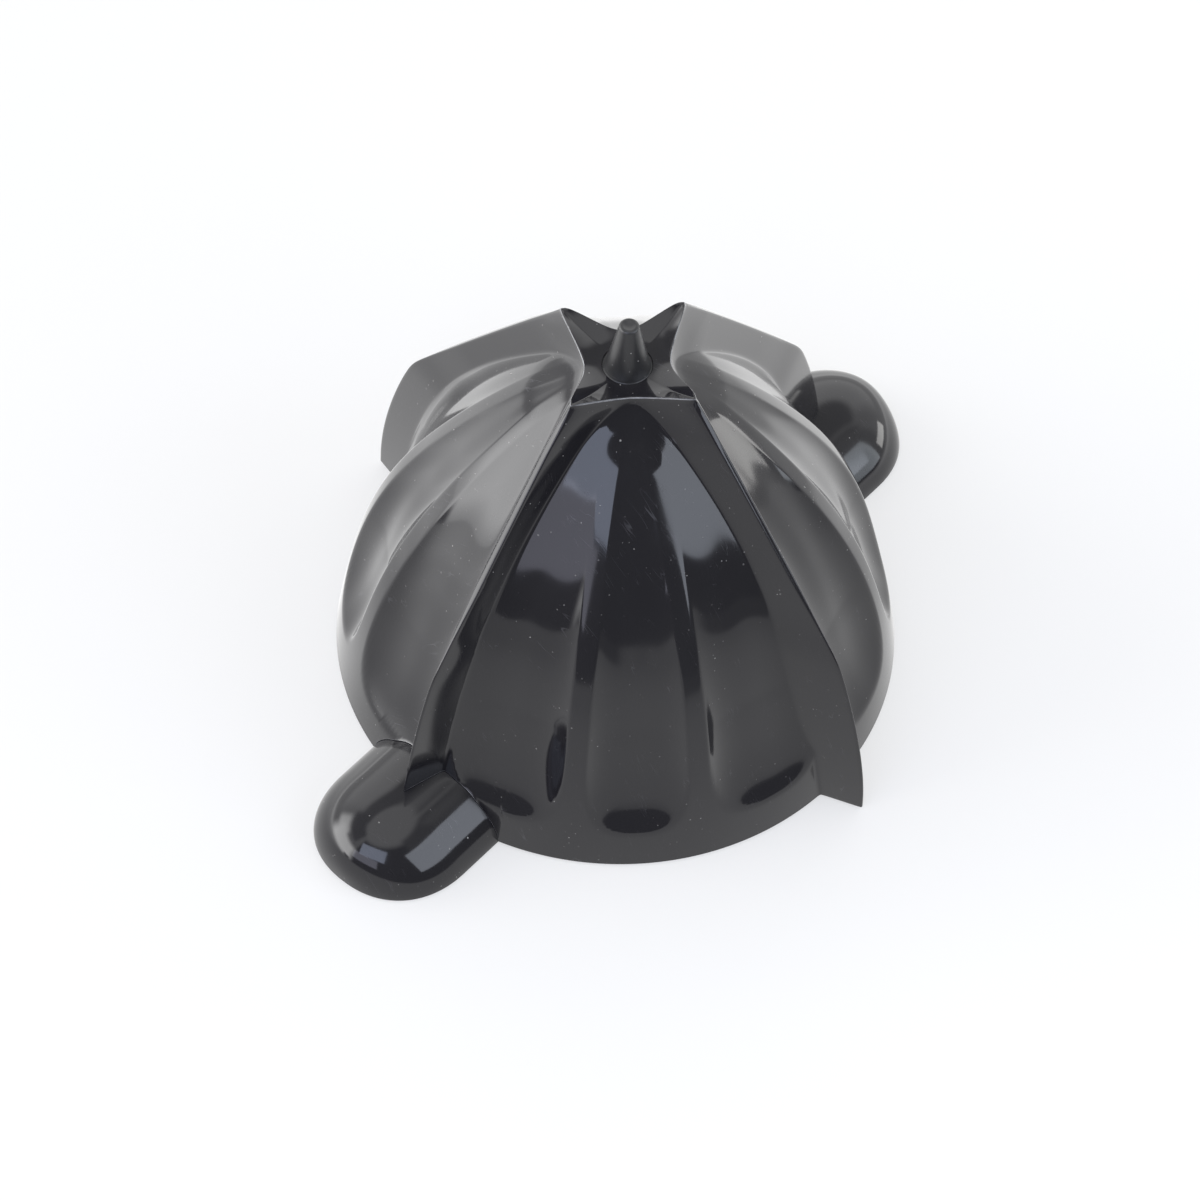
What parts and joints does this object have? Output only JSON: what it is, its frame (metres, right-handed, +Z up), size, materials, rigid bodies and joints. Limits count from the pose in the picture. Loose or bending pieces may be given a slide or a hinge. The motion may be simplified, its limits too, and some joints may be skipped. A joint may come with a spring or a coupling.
{
  "type": "citrus juicer press cone",
  "caption": "Press cone set of an electric citrus juicer: a fluted cone with blade fins that lifts off an inner cone with a centre pin, drive socket and pulp-wiping arms.",
  "frame": {"origin": "on the table, on the turning axis, in the middle of the bounding box's base", "axes": "+Z up along the turning axis; +X along the line of the two wiper caps; +Y completes the right-handed frame"},
  "size_m": [0.1176, 0.0936, 0.0713],
  "materials": {
    "large_cone": "polished, lightly scratched",
    "small_cone": "polished, lightly scratched",
    "centre_pin": "satin, slightly worn",
    "drive_bush": "matt",
    "wiper_cap_left": "polished, lightly scratched",
    "wiper_cap_right": "polished, lightly scratched"
  },
  "bodies": {
    "carrier": {"small_cone": "small_cone", "centre_pin": "centre_pin", "drive_bush": "drive_bush", "wiper_cap_left": "wiper_cap_left", "wiper_cap_right": "wiper_cap_right"},
    "outer_cone": {"large_cone": "large_cone"}
  },
  "joints": [
    {"name": "large_cone_lift", "type": "slide", "parent": "carrier", "child": "outer_cone", "axis": [0, 0, 1], "range_m": [0, 0.075]}
  ]
}
